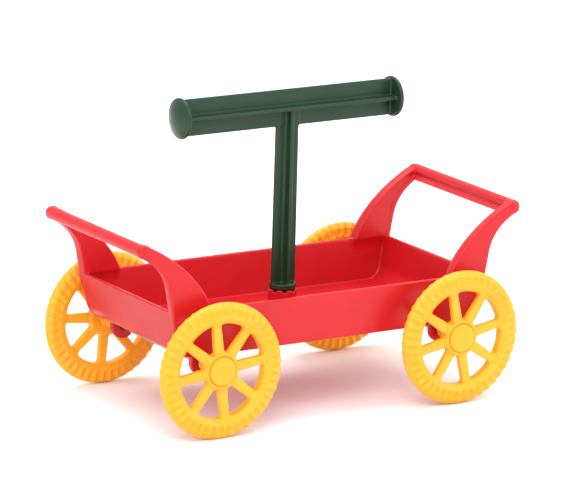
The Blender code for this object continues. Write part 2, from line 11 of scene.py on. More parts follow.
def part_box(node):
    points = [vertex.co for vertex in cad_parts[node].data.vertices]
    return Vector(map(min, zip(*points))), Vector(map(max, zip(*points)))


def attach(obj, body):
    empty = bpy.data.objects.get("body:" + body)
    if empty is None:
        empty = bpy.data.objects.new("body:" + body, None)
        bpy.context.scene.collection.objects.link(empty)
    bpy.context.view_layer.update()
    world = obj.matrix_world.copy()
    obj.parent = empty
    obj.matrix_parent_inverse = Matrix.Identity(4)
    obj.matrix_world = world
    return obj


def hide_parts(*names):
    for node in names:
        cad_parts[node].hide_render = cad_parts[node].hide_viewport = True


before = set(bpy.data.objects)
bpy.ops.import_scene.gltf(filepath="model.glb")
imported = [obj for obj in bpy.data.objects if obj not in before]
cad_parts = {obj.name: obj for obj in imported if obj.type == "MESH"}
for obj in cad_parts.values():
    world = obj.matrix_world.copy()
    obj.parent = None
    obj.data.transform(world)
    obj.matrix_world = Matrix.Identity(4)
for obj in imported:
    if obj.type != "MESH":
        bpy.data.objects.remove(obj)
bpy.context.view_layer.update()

# ---------------------------------------------------------------- sizes read from the frame
tray_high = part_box("tray_body")[1]
handle_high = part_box("carry_handle")[1]
wheel_low, wheel_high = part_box("wheel_front_left")
cap_low, cap_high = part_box("hub_cap_front_left")
axle_low, axle_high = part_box("axle_front")

WHEEL_RADIUS = (wheel_high.z - wheel_low.z) / 2
AXLE_Z = (axle_low.z + axle_high.z) / 2
AXLE_X = (axle_low.x + axle_high.x) / 2
TREAD_WIDTH = 0.0105
WHEEL_Y = wheel_high.y - TREAD_WIDTH / 2

GRAB_BAR_RADIUS = 0.0041
GRAB_BAR_PROUD = 0.0010
GRAB_LIP = 0.0012
BAR_X = tray_high.x - GRAB_BAR_RADIUS
BAR_Z = tray_high.z - GRAB_BAR_RADIUS
HALF_WIDTH = tray_high.y - GRAB_BAR_PROUD
FLOOR_Z = AXLE_Z + 0.0055
RIM_Z = FLOOR_Z + 0.0330
HALF_LENGTH = BAR_X - 0.0235

FLOOR_THICK = 0.0030
END_THICK = 0.0030
SIDE_THICK = 0.0035
END_SLOPE = 0.18
SIDE_SLOPE = 0.12
CORNER_RADIUS = 0.015
UPRIGHT_FOOT = 0.0282
UPRIGHT_THICK = 0.0070
UPRIGHT_SPREAD = 0.60         # run of the upright's inner face below the rim
CLEARANCE = 0.0003            # gap between pieces that meet

HANDLE_RISE = 0.0139          # disc radius: the disc tops the handle
HANDLE_Z = handle_high.z - HANDLE_RISE
DISC_RIM = 0.0026
DISC_DOME = 0.0032
CROSSBAR_HALF = handle_high.x - DISC_RIM - DISC_DOME
COLLAR_Z = FLOOR_Z + 0.0220 + 0.0003


# ---------------------------------------------------------------- shapes as distances
def outline_distance(points, x, z, closed=True):
    """Distance from (x, z) to an outline; negative inside a closed one."""
    best = None
    inside = False
    pairs = zip(points, points[1:] + points[:1]) if closed else zip(points, points[1:])
    for (ax, az), (bx, bz) in pairs:
        ex, ez = bx - ax, bz - az
        wx, wz = x - ax, z - az
        t = np.clip((wx * ex + wz * ez) / (ex * ex + ez * ez), 0.0, 1.0)
        away = (wx - t * ex) ** 2 + (wz - t * ez) ** 2
        best = away if best is None else np.minimum(best, away)
        if closed and az != bz:
            crosses = ((az > z) != (bz > z)) & (x < ex * (z - az) / ez + ax)
            inside = inside ^ crosses
    best = np.sqrt(best)
    return np.where(inside, -best, best) if closed else best


def rounded(a, b, radius):
    """Where a and b are both inside, with the edge between them rounded."""
    a = a + radius
    b = b + radius
    return np.minimum(np.maximum(a, b), 0.0) + np.hypot(np.maximum(a, 0.0), np.maximum(b, 0.0)) - radius


def joined(a, b, fillet):
    """Where a or b is inside, with a fillet where they meet."""
    near = np.maximum(fillet - np.abs(a - b), 0.0) / fillet
    return np.minimum(a, b) - near * near * fillet / 4


def cut(a, b, soft):
    """a with b taken out, its new edge softened."""
    near = np.maximum(soft - np.abs(a + b), 0.0) / soft
    return np.maximum(a, -b) + near * near * soft / 4


def ramp(value, low, high):
    """0 below low, 1 above high, smooth between."""
    t = np.clip((value - low) / (high - low), 0.0, 1.0)
    return t * t * (3 - 2 * t)


EDGE_ENDS = [
    ((a, b, c), (a + (axis == 0), b + (axis == 1), c + (axis == 2)))
    for axis in range(3)
    for a in (0, 1) for b in (0, 1) for c in (0, 1)
    if (a, b, c)[axis] == 0
]


def skin(field, low, step):
    """Points and four-sided faces of the surface where a sampled field is zero."""
    inside = field < 0
    rows, columns, layers = inside.shape
    corners = sum(
        inside[a:rows - 1 + a, b:columns - 1 + b, c:layers - 1 + c].astype(np.uint8)
        for a in (0, 1) for b in (0, 1) for c in (0, 1)
    )
    active = (corners > 0) & (corners < 8)
    cells = np.argwhere(active)
    index = np.full(active.shape, -1, np.int64)
    index[active] = np.arange(len(cells))
    total = np.zeros((len(cells), 3))
    count = np.zeros(len(cells))
    for one, two in EDGE_ENDS:
        va = field[tuple((cells + one).T)]
        vb = field[tuple((cells + two).T)]
        crossing = (va < 0) != (vb < 0)
        t = np.where(crossing, va / np.where(va == vb, 1.0, va - vb), 0.0)
        place = np.array(one) + t[:, None] * (np.array(two) - np.array(one))
        total += place * crossing[:, None]
        count += crossing
    points = np.array(low) + (cells + total / count[:, None]) * step
    faces = []
    for axis in range(3):
        first = [slice(1, -1)] * 3
        second = [slice(1, -1)] * 3
        first[axis] = slice(0, -1)
        second[axis] = slice(1, None)
        here = inside[tuple(first)]
        there = inside[tuple(second)]
        u, v = [k for k in range(3) if k != axis]
        for mask, flip in ((here & ~there, False), (~here & there, True)):
            at = np.argwhere(mask)
            at[:, u] += 1
            at[:, v] += 1
            ring = []
            for du, dv in ((-1, -1), (0, -1), (0, 0), (-1, 0)):
                cell = at.copy()
                cell[:, u] += du
                cell[:, v] += dv
                ring.append(index[tuple(cell.T)])
            quad = np.stack(ring, 1)
            if flip != (axis == 1):
                quad = quad[:, ::-1]
            faces.append(quad)
    return points, np.concatenate(faces)


def slope(shape, points, reach):
    """Gradient of a distance function at each point."""
    out = np.zeros_like(points)
    for axis in range(3):
        shift = np.zeros(3)
        shift[axis] = reach
        out[:, axis] = (shape(*(points + shift).T) - shape(*(points - shift).T)) / (2 * reach)
    return out


def moulded(name, shape, low, high, step, triangles, mirror="", reach=0.0004):
    """A closed mesh of the surface of shape between two corners; mirror names the axes it repeats across."""
    axes = []
    for k, letter in enumerate("xyz"):
        if letter in mirror:
            n = int(math.ceil(high[k] / step)) + 1
            axes.append((np.arange(n) + 0.5) * step)
        else:
            n = int(math.ceil((high[k] - low[k]) / step)) + 1
            axes.append(low[k] + np.arange(n) * step)
    field = np.broadcast_to(
        shape(axes[0][:, None, None], axes[1][None, :, None], axes[2][None, None, :]),
        tuple(len(a) for a in axes),
    ).astype(np.float32)
    start = [a[0] for a in axes]
    for k, letter in enumerate("xyz"):
        if letter in mirror:
            field = np.concatenate([np.flip(field, k), field], k)
            start[k] = -axes[k][-1]
    points, faces = skin(field, start, step)
    for _ in range(3):
        value = shape(*points.T)
        along = slope(shape, points, reach / 2)
        size = np.maximum((along ** 2).sum(1), 0.25)
        move = -(value / size)[:, None] * along
        points = points + np.clip(move, -step / 4, step / 4)
    mesh = bpy.data.meshes.new(name)
    mesh.vertices.add(len(points))
    mesh.vertices.foreach_set("co", points.astype(np.float32).ravel())
    mesh.loops.add(faces.size)
    mesh.loops.foreach_set("vertex_index", faces.astype(np.int32).ravel())
    mesh.polygons.add(len(faces))
    mesh.polygons.foreach_set("loop_start", np.arange(0, faces.size, 4, dtype=np.int32))
    mesh.update(calc_edges=True)
    mesh.validate()
    if 2 * len(faces) > triangles:
        obj = bpy.data.objects.new(name, mesh)
        bpy.context.scene.collection.objects.link(obj)
        thin = obj.modifiers.new("thin", "DECIMATE")
        thin.ratio = triangles / (2 * len(faces))
        graph = bpy.context.evaluated_depsgraph_get()
        mesh = bpy.data.meshes.new_from_object(obj.evaluated_get(graph))
        bpy.data.objects.remove(obj)
    points = np.zeros(len(mesh.vertices) * 3)
    mesh.vertices.foreach_get("co", points)
    points = points.reshape(-1, 3)
    normals = slope(shape, points, reach)
    normals /= np.maximum(np.linalg.norm(normals, axis=1), 1e-9)[:, None]
    mesh.polygons.foreach_set("use_smooth", np.ones(len(mesh.polygons), bool))
    mesh.normals_split_custom_set_from_vertices(normals.tolist())
    return mesh


def show(name, mesh, material, body, node, place=None):
    """One finished piece that stands for a node of the frame."""
    obj = bpy.data.objects.new(name, mesh)
    bpy.context.scene.collection.objects.link(obj)
    if place is not None:
        obj.matrix_world = place
    obj.data.materials.clear()
    obj.data.materials.append(material)
    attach(obj, body)
    if node:
        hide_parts(node)
    return obj


# ---------------------------------------------------------------- tray
def end_x(z):
    """Outer face of the front end wall at height z."""
    return HALF_LENGTH + (z - RIM_Z) * END_SLOPE


def side_y(z):
    """Outer face of the left side wall at height z."""
    return HALF_WIDTH - np.maximum(0.0, RIM_Z - z) * SIDE_SLOPE


def curve(p0, p1, p2, p3, count):
    """Points along a cubic curve."""
    out = []
    for i in range(count + 1):
        t = i / count
        w = ((1 - t) ** 3, 3 * t * (1 - t) ** 2, 3 * t * t * (1 - t), t ** 3)
        out.append(tuple(sum(k * p[a] for k, p in zip(w, (p0, p1, p2, p3))) for a in (0, 1)))
    return out


def moved_left(points, distance):
    """The same line set off to the left of its direction."""
    out = []
    for i, p in enumerate(points):
        a = points[max(i - 1, 0)]
        b = points[min(i + 1, len(points) - 1)]
        run = Vector((b[0] - a[0], b[1] - a[1])).normalized()
        out.append((p[0] - run.y * distance, p[1] + run.x * distance))
    return out


turn = math.pi / 2 - math.atan(END_SLOPE)
reach = CORNER_RADIUS * math.tan(turn / 2)
corner_centre = (end_x(FLOOR_Z) - reach, FLOOR_Z + CORNER_RADIUS)
corner = [
    (corner_centre[0] + CORNER_RADIUS * math.cos(a), corner_centre[1] + CORNER_RADIUS * math.sin(a))
    for a in (-math.pi / 2 + turn * k / 10 for k in range(11))
]
FLARE_RISE = 0.0148
FLARE_PULL = (0.0023, 0.0120)
BAR_UNDER = (0.0020, -0.0031)
BAR_UNDER_PULL = (0.0110, 0.0095)
BAR_OVER = (-0.0023, 0.0030)
BAR_OVER_PULL = (0.0268, 0.0088)
FOOT_PULL = (0.0052, 0.0168)
UPRIGHT_ROOT_DROP = 0.0080
UPRIGHT_ROOT_IN = 0.0010
flare_z = RIM_Z + FLARE_RISE
flare_start = (end_x(flare_z), flare_z)
bar_under = (BAR_X + BAR_UNDER[0], BAR_Z + BAR_UNDER[1])
outer_curve = curve(flare_start, (flare_start[0] + FLARE_PULL[0], flare_start[1] + FLARE_PULL[1]),
                    (BAR_X - BAR_UNDER_PULL[0], BAR_Z - BAR_UNDER_PULL[1]), bar_under, 14)
foot = (HALF_LENGTH - UPRIGHT_FOOT, RIM_Z)
bar_over = (BAR_X + BAR_OVER[0], BAR_Z + BAR_OVER[1])
inner_curve = curve(foot, (foot[0] + FOOT_PULL[0], foot[1] + FOOT_PULL[1]),
                    (BAR_X - BAR_OVER_PULL[0], BAR_Z - BAR_OVER_PULL[1]), bar_over, 18)
INWARD = -0.05
side_outline = ([(INWARD, FLOOR_Z)] + corner + outer_curve
                + list(reversed(inner_curve)) + [(INWARD, RIM_Z)])
low_z = RIM_Z - UPRIGHT_ROOT_DROP
upright_outline = ([(foot[0] + UPRIGHT_ROOT_IN, low_z), (end_x(low_z), low_z)] + outer_curve
                   + list(reversed(inner_curve)))
wall_line = moved_left([(INWARD, FLOOR_Z)] + corner + outer_curve, END_THICK / 2)
BRACKET_RADIUS = 0.0088
BRACKET_INSET = 0.0080
BRACKET_OUT_Y = HALF_WIDTH - BRACKET_INSET
BRACKET_THICK = 0.0050
AXLE_HOLE_RADIUS = 0.0028
AXLE_HOLE_EDGE = 0.0004
WALL_EDGE = 0.0008            # rounding of the thin walls
WALL_SETBACK = 0.0012         # end walls from the outer face of the sides
UPRIGHT_EDGE = 0.0009
BAR_END_EDGE = 0.0026
HAND_GAP_START = 0.035        # hand gap reaches this far in from the end wall
HAND_GAP_EDGE = 0.0012
UPRIGHT_FILLET = 0.0030
WALL_FILLET = 0.0014
BAR_FILLET = 0.0020
BRACKET_FILLET = 0.0016


def tray_shape(x, y, z):
    """The tray with its uprights, grab bars and axle brackets, as one moulding."""
    x = np.abs(x)
    y = np.abs(y)
    edge = side_y(z)
    plate = rounded(
        outline_distance(side_outline, x, z),
        np.maximum(y - edge, edge - SIDE_THICK - y),
        WALL_EDGE,
    )
    wall = rounded(
        outline_distance(wall_line, x, z, False) - END_THICK / 2,
        y - edge + WALL_SETBACK,
        WALL_EDGE,
    )
    gap_top = z - BAR_Z + GRAB_BAR_RADIUS + GRAB_LIP
    gap = rounded(y - (HALF_WIDTH - UPRIGHT_THICK), np.maximum(RIM_Z - z, gap_top), WALL_EDGE)
    gap = np.maximum(gap, (HALF_LENGTH - HAND_GAP_START) - x)
    wall = cut(wall, gap, HAND_GAP_EDGE)
    inner_face = HALF_WIDTH - UPRIGHT_THICK + UPRIGHT_SPREAD * np.maximum(0.0, RIM_Z - z)
    upright = rounded(
        outline_distance(upright_outline, x, z),
        np.maximum(y - edge, inner_face - y),
        UPRIGHT_EDGE,
    )
    bar = rounded(
        np.hypot(x - BAR_X, z - BAR_Z) - GRAB_BAR_RADIUS,
        y - HALF_WIDTH - GRAB_BAR_PROUD,
        BAR_END_EDGE,
    )
    near = np.abs(x - AXLE_X)
    drop = np.where(z > AXLE_Z, near, np.hypot(near, z - AXLE_Z)) - BRACKET_RADIUS
    bracket = rounded(
        np.maximum(drop, z - FLOOR_Z - FLOOR_THICK / 2),
        np.maximum(y - BRACKET_OUT_Y, BRACKET_OUT_Y - BRACKET_THICK - y),
        UPRIGHT_EDGE,
    )
    shape = joined(plate, upright, UPRIGHT_FILLET)
    shape = joined(shape, wall, WALL_FILLET)
    shape = joined(shape, bar, BAR_FILLET)
    shape = joined(shape, bracket, BRACKET_FILLET)
    return cut(shape, np.hypot(x - AXLE_X, z - AXLE_Z) - AXLE_HOLE_RADIUS, AXLE_HOLE_EDGE)


SOCKET_RADIUS = 0.0096
SOCKET_TOP = COLLAR_Z - 0.0003
PLUG_BORE = 0.0062
NOTCHES = 8
NOTCH_HALF = 0.0014
NOTCH_DEPTH = 0.0013
NOTCH_EDGE = 0.0007
SOCKET_EDGE = 0.0006
SOCKET_DRAFT = 0.0004
SOCKET_HEIGHT = 0.019
FLARE_OUT = 0.0022
FLARE_HEIGHT = 0.0026
SOCKET_SUNK = 0.0008          # the socket starts inside the floor


def socket_shape(x, y, z):
    """The crowned socket that holds the foot of the handle, flared onto the floor."""
    out = np.hypot(x, y)
    up = z - FLOOR_Z - FLOOR_THICK
    flare = FLARE_OUT * np.clip(1 - up / FLARE_HEIGHT, 0.0, 1.0) ** 2
    draft = SOCKET_DRAFT * np.clip(1 - up / SOCKET_HEIGHT, 0, 1)
    boss = rounded(out - SOCKET_RADIUS - draft - flare,
                   np.maximum(z - SOCKET_TOP, FLOOR_Z + SOCKET_SUNK - z), SOCKET_EDGE)
    boss = cut(boss, out - PLUG_BORE, SOCKET_EDGE)
    sector = 2 * math.pi / NOTCHES
    around = np.mod(np.arctan2(y, x), sector) - sector / 2
    notch = np.maximum(np.abs(out * np.sin(around)) - NOTCH_HALF, SOCKET_TOP - NOTCH_DEPTH - z)
    return cut(boss, notch, NOTCH_EDGE)


# ---------------------------------------------------------------- handle
WEB = 0.0026
WEB_HALF = 0.0127
SHELF_HALF = 0.0085
POST_HALF = 0.0088
POST_RIB = 0.0078
COLLAR_RADIUS = 0.0092
COLLAR_HEIGHT = 0.0040
PLUG_RADIUS = 0.0059
WEB_EDGE = 0.0009
POST_WIDENING = 0.0006
DISC_EDGE = 0.0011
COLLAR_EDGE = 0.0010
PLUG_EDGE = 0.0005
WEB_FILLET = 0.0016
POST_FILLET = 0.0022
COLLAR_FILLET = 0.0010
PLUG_FILLET = 0.0004


def handle_shape(x, y, z):
    """The carry handle: ribbed crossbar with domed discs on a ribbed post with a round foot."""
    x = np.abs(x)
    y = np.abs(y)
    up = np.abs(z - HANDLE_Z)
    end = x - CROSSBAR_HALF - DISC_RIM / 2
    web = rounded(up - WEB_HALF, np.maximum(y - WEB / 2, end), WEB_EDGE)
    shelf = rounded(y - SHELF_HALF, np.maximum(up - WEB / 2, end), WEB_EDGE)
    widening = POST_WIDENING * np.clip((HANDLE_Z - z) / (HANDLE_Z - COLLAR_Z), 0.0, 1.0)
    ends = np.maximum(z - HANDLE_Z, COLLAR_Z + COLLAR_HEIGHT / 2 - z)
    post = rounded(x - POST_HALF - widening, np.maximum(y - WEB / 2, ends), WEB_EDGE)
    rib = rounded(y - POST_RIB - widening, np.maximum(x - WEB / 2, ends), WEB_EDGE)
    out = np.hypot(y, up)
    dome = DISC_DOME * (1 - np.clip(out / (HANDLE_RISE - 0.0012), 0.0, 1.0) ** 2) + 0.0002
    disc = rounded(out - HANDLE_RISE,
                   np.maximum(CROSSBAR_HALF - x, x - CROSSBAR_HALF - DISC_RIM - dome), DISC_EDGE)
    around = np.hypot(x, y)
    collar = rounded(around - COLLAR_RADIUS,
                     np.maximum(COLLAR_Z - z, z - COLLAR_Z - COLLAR_HEIGHT), COLLAR_EDGE)
    plug = rounded(around - PLUG_RADIUS,
                   np.maximum(FLOOR_Z + CLEARANCE - z, z - COLLAR_Z - COLLAR_HEIGHT / 2), PLUG_EDGE)
    shape = joined(joined(web, shelf, WEB_FILLET), disc, WEB_FILLET)
    shape = joined(shape, joined(post, rib, POST_FILLET), WEB_FILLET)
    return joined(joined(shape, collar, COLLAR_FILLET), plug, PLUG_FILLET)


# ---------------------------------------------------------------- wheels
LUGS = 44
LUG_DEPTH = 0.0016
SPOKES = 8
SPOKE_CENTRE = -0.0006
SPOKE_HALF_DEPTH = 0.0021
HUB_RADIUS = 0.0123
HUB_FRONT = 0.0032
CAP_SEAT = 0.0101
SLEEVE_RADIUS = 0.0050
HUB_BACK_WALL = 0.0016
SPOKE_HALF_AT_HUB = 0.0036
SPOKE_NARROWING = 0.0005
SPOKE_EDGE = 0.0011
SPOKE_INTO_RIM = 0.0015
SPOKE_START = 0.0085
HUB_EDGE = 0.0008
SLEEVE_EDGE = 0.0006
SPOKE_FILLET = 0.0030
SLEEVE_FILLET = 0.0016
HUB_FILLET = 0.0024
SEAT_EDGE = 0.0010
WINDOW_RADIUS = WHEEL_RADIUS * 0.70
LUG_FOOT = WHEEL_RADIUS * 0.78
HALF_TREAD = TREAD_WIDTH / 2
spacer_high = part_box("axle_spacer_front_left")[1]
SLEEVE_END = spacer_high.y + 0.0003 - WHEEL_Y
NUT_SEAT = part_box("push_nut_front_left")[0].y - 0.0003 - WHEEL_Y

tyre_outline = [
    (WINDOW_RADIUS, SPOKE_CENTRE - SPOKE_HALF_DEPTH - 0.0008),
    (LUG_FOOT, -HALF_TREAD + 0.0004),
    (LUG_FOOT + 0.0016, -HALF_TREAD),
    (WHEEL_RADIUS - 0.0030, -HALF_TREAD * 0.90),
    (WHEEL_RADIUS - 0.0009, -HALF_TREAD * 0.52),
    (WHEEL_RADIUS, 0.0),
    (WHEEL_RADIUS - 0.0009, HALF_TREAD * 0.52),
    (WHEEL_RADIUS - 0.0030, HALF_TREAD * 0.90),
    (LUG_FOOT + 0.0016, HALF_TREAD),
    (LUG_FOOT, HALF_TREAD - 0.0004),
    (WINDOW_RADIUS, SPOKE_CENTRE + SPOKE_HALF_DEPTH + 0.0008),
]


def wheel_shape(x, c, z):
    """A wheel about the Y axis; c grows toward its outer face."""
    out = np.hypot(x, z)
    angle = np.arctan2(z, x)
    tyre = outline_distance(tyre_outline, out, c)
    groove = (0.5 + 0.5 * np.cos(LUGS * angle)) ** 0.9
    shoulder = ramp(np.abs(c) / HALF_TREAD, 0.10, 0.72) * ramp(out, LUG_FOOT - 0.0002, LUG_FOOT + 0.0026)
    tyre = tyre + LUG_DEPTH * groove * shoulder
    sector = 2 * math.pi / SPOKES
    fold = np.mod(angle + sector / 2, sector) - sector / 2
    along = out * np.cos(fold)
    half = SPOKE_HALF_AT_HUB - SPOKE_NARROWING * ramp(along, HUB_RADIUS, WINDOW_RADIUS)
    spoke = rounded(np.abs(out * np.sin(fold)) - half,
                    np.abs(c - SPOKE_CENTRE) - SPOKE_HALF_DEPTH, SPOKE_EDGE)
    spoke = np.maximum(spoke, np.maximum(out - WINDOW_RADIUS - SPOKE_INTO_RIM, SPOKE_START - out))
    hub = rounded(out - HUB_RADIUS,
                  np.maximum(c - HUB_FRONT, NUT_SEAT - HUB_BACK_WALL - c), HUB_EDGE)
    sleeve = rounded(out - SLEEVE_RADIUS, np.maximum(c - SPOKE_CENTRE, SLEEVE_END - c), SLEEVE_EDGE)
    shape = joined(joined(tyre, spoke, SPOKE_FILLET), joined(hub, sleeve, SLEEVE_FILLET), HUB_FILLET)
    seat = np.maximum(out - CAP_SEAT, NUT_SEAT - c)
    return np.maximum(cut(shape, seat, SEAT_EDGE), AXLE_HOLE_RADIUS - out)


CAP_DOME = cap_high.y - WHEEL_Y - HUB_FRONT
CAP_DOME_RADIUS = 0.0104
CAP_GROOVE = 0.00015
CAP_EDGE = 0.0009


def cap_shape(x, c, z):
    """A domed hub cap pressed into the hub."""
    out = np.hypot(x, z)
    dome = HUB_FRONT + CAP_DOME * np.sqrt(np.maximum(1 - (out / CAP_DOME_RADIUS) ** 2, 0.0))
    return rounded(out - CAP_SEAT + CAP_GROOVE, np.maximum(c - dome, cap_low.y - WHEEL_Y - c), CAP_EDGE)


# ---------------------------------------------------------------- materials
def moulded_plastic(name, colour, deep, light, roughness, glow, coat=0.0):
    """Injection-moulded plastic: slow colour drift, uneven sheen, fine skin and faint flow marks."""
    mat = bpy.data.materials.new(name)
    mat.use_nodes = True
    tree = mat.node_tree
    add = tree.nodes.new
    link = tree.links.new
    shader = tree.nodes["Principled BSDF"]
    place = add("ShaderNodeTexCoord")

    drift = add("ShaderNodeTexNoise")
    drift.inputs["Scale"].default_value = 22.0
    drift.inputs["Detail"].default_value = 4.0
    drift.inputs["Roughness"].default_value = 0.55
    link(place.outputs["Object"], drift.inputs["Vector"])
    tones = add("ShaderNodeValToRGB")
    tones.color_ramp.elements[0].position = 0.30
    tones.color_ramp.elements[0].color = (*deep, 1.0)
    tones.color_ramp.elements[1].position = 0.72
    tones.color_ramp.elements[1].color = (*light, 1.0)
    middle = tones.color_ramp.elements.new(0.50)
    middle.color = (*colour, 1.0)
    link(drift.outputs["Fac"], tones.inputs["Fac"])

    specks = add("ShaderNodeTexNoise")
    specks.inputs["Scale"].default_value = 900.0
    specks.inputs["Detail"].default_value = 2.0
    link(place.outputs["Object"], specks.inputs["Vector"])
    pigment = add("ShaderNodeMapRange")
    pigment.inputs["From Min"].default_value = 0.30
    pigment.inputs["From Max"].default_value = 0.70
    pigment.inputs["To Min"].default_value = 0.965
    pigment.inputs["To Max"].default_value = 1.02
    link(specks.outputs["Fac"], pigment.inputs["Value"])
    mix = add("ShaderNodeVectorMath")
    mix.operation = "SCALE"
    link(tones.outputs["Color"], mix.inputs[0])
    link(pigment.outputs["Result"], mix.inputs["Scale"])
    link(mix.outputs["Vector"], shader.inputs["Base Color"])

    sheen = add("ShaderNodeTexNoise")
    sheen.inputs["Scale"].default_value = 70.0
    sheen.inputs["Detail"].default_value = 5.0
    link(place.outputs["Object"], sheen.inputs["Vector"])
    gloss = add("ShaderNodeMapRange")
    gloss.inputs["From Min"].default_value = 0.30
    gloss.inputs["From Max"].default_value = 0.70
    gloss.inputs["To Min"].default_value = roughness - 0.05
    gloss.inputs["To Max"].default_value = roughness + 0.07
    link(sheen.outputs["Fac"], gloss.inputs["Value"])
    link(gloss.outputs["Result"], shader.inputs["Roughness"])

    grain = add("ShaderNodeTexNoise")
    grain.inputs["Scale"].default_value = 1500.0
    grain.inputs["Detail"].default_value = 3.0
    link(place.outputs["Object"], grain.inputs["Vector"])
    skin_bump = add("ShaderNodeBump")
    skin_bump.inputs["Strength"].default_value = 0.10
    skin_bump.inputs["Distance"].default_value = 0.00006
    link(grain.outputs["Fac"], skin_bump.inputs["Height"])
    flow = add("ShaderNodeTexNoise")
    flow.inputs["Scale"].default_value = 55.0
    flow.inputs["Detail"].default_value = 1.5
    link(place.outputs["Object"], flow.inputs["Vector"])
    sink = add("ShaderNodeBump")
    sink.inputs["Strength"].default_value = 0.16
    sink.inputs["Distance"].default_value = 0.00035
    link(flow.outputs["Fac"], sink.inputs["Height"])
    link(skin_bump.outputs["Normal"], sink.inputs["Normal"])
    link(sink.outputs["Normal"], shader.inputs["Normal"])

    shader.inputs["IOR"].default_value = 1.50
    shader.inputs["Specular IOR Level"].default_value = 0.32
    shader.inputs["Subsurface Weight"].default_value = glow
    shader.inputs["Subsurface Radius"].default_value = (1.0, 0.45, 0.25)
    shader.inputs["Subsurface Scale"].default_value = 0.0016
    shader.inputs["Coat Weight"].default_value = coat
    shader.inputs["Coat Roughness"].default_value = 0.18
    return mat


def zinc_steel(name):
    """Bright plated steel with fine turning marks and a slightly mottled sheen."""
    mat = bpy.data.materials.new(name)
    mat.use_nodes = True
    tree = mat.node_tree
    add = tree.nodes.new
    link = tree.links.new
    shader = tree.nodes["Principled BSDF"]
    place = add("ShaderNodeTexCoord")
    mottle = add("ShaderNodeTexNoise")
    mottle.inputs["Scale"].default_value = 260.0
    mottle.inputs["Detail"].default_value = 5.0
    link(place.outputs["Object"], mottle.inputs["Vector"])
    tones = add("ShaderNodeValToRGB")
    tones.color_ramp.elements[0].position = 0.32
    tones.color_ramp.elements[0].color = (0.42, 0.42, 0.43, 1.0)
    tones.color_ramp.elements[1].position = 0.70
    tones.color_ramp.elements[1].color = (0.66, 0.66, 0.67, 1.0)
    link(mottle.outputs["Fac"], tones.inputs["Fac"])
    link(tones.outputs["Color"], shader.inputs["Base Color"])
    gloss = add("ShaderNodeMapRange")
    gloss.inputs["From Min"].default_value = 0.30
    gloss.inputs["From Max"].default_value = 0.70
    gloss.inputs["To Min"].default_value = 0.24
    gloss.inputs["To Max"].default_value = 0.42
    link(mottle.outputs["Fac"], gloss.inputs["Value"])
    link(gloss.outputs["Result"], shader.inputs["Roughness"])
    marks = add("ShaderNodeTexWave")
    marks.bands_direction = "Y"
    marks.inputs["Scale"].default_value = 900.0
    marks.inputs["Distortion"].default_value = 1.5
    link(place.outputs["Object"], marks.inputs["Vector"])
    bump = add("ShaderNodeBump")
    bump.inputs["Strength"].default_value = 0.12
    bump.inputs["Distance"].default_value = 0.00005
    link(marks.outputs["Fac"], bump.inputs["Height"])
    link(bump.outputs["Normal"], shader.inputs["Normal"])
    shader.inputs["Metallic"].default_value = 1.0
    return mat


red = moulded_plastic("red_moulded", (0.54, 0.009, 0.014), (0.51, 0.007, 0.012), (0.57, 0.011, 0.017),
                      0.34, 0.06)
green = moulded_plastic("green_moulded", (0.012, 0.040, 0.019), (0.010, 0.035, 0.016), (0.015, 0.046, 0.022),
                        0.33, 0.0)
yellow = moulded_plastic("yellow_moulded", (0.92, 0.385, 0.017), (0.90, 0.360, 0.014), (0.94, 0.410, 0.021),
                         0.34, 0.18)
steel = zinc_steel("zinc_plated_steel")

# ---------------------------------------------------------------- plastic pieces
show("wagon_tray",
     moulded("wagon_tray", tray_shape, (0, 0, AXLE_Z - BRACKET_RADIUS - 0.002),
             (BAR_X + 0.008, HALF_WIDTH + 0.005, BAR_Z + 0.008), 0.0008, 170000, "xy"),
     red, "wagon_body", "tray_body")
show("handle_socket_crown",
     moulded("handle_socket_crown", socket_shape, (0, 0, FLOOR_Z), (0.014, 0.014, SOCKET_TOP + 0.002),
             0.0003, 60000, "xy"),
     red, "wagon_body", None)
handle_end = CROSSBAR_HALF + DISC_RIM + DISC_DOME
show("carry_handle_moulding",
     moulded("carry_handle_moulding", handle_shape, (0, 0, FLOOR_Z - 0.001),
             (handle_end + 0.003, HANDLE_RISE + 0.003, HANDLE_Z + HANDLE_RISE + 0.003),
             0.0006, 90000, "xy"),
     green, "wagon_body", "carry_handle")

wheel_mesh = moulded(
    "wheel_moulding", wheel_shape, (-WHEEL_RADIUS - 0.002, SLEEVE_END - 0.001, -WHEEL_RADIUS - 0.002),
    (WHEEL_RADIUS + 0.002, HALF_TREAD + 0.002, WHEEL_RADIUS + 0.002), 0.00055, 90000)
cap_mesh = moulded(
    "hub_cap_moulding", cap_shape, (0, cap_low.y - WHEEL_Y - 0.001, 0),
    (0.012, HUB_FRONT + CAP_DOME + 0.001, 0.012), 0.00035, 12000, "xz")
SPOKE_PHASE = {"front_left": 20.0, "front_right": 11.5, "rear_left": 40.5, "rear_right": 7.0}


def across(label, phase=0.0):
    """Where a wheel or cap stands: turned about its axle and facing away from the tray."""
    end = 1 if label.startswith("front") else -1
    side = 1 if label.endswith("left") else -1
    facing = Matrix.Rotation(0.0 if side > 0 else math.pi, 4, "Z")
    turned = Matrix.Rotation(-math.radians(phase), 4, "Y")
    return Matrix.Translation((end * AXLE_X, side * WHEEL_Y, AXLE_Z)) @ turned @ facing


for label, phase in SPOKE_PHASE.items():
    show("spoked_wheel_" + label, wheel_mesh.copy(), yellow, "road_wheel_" + label,
         "wheel_" + label, across(label, phase))
    show("domed_hub_cap_" + label, cap_mesh.copy(), yellow, "road_wheel_" + label,
         "hub_cap_" + label, across(label))


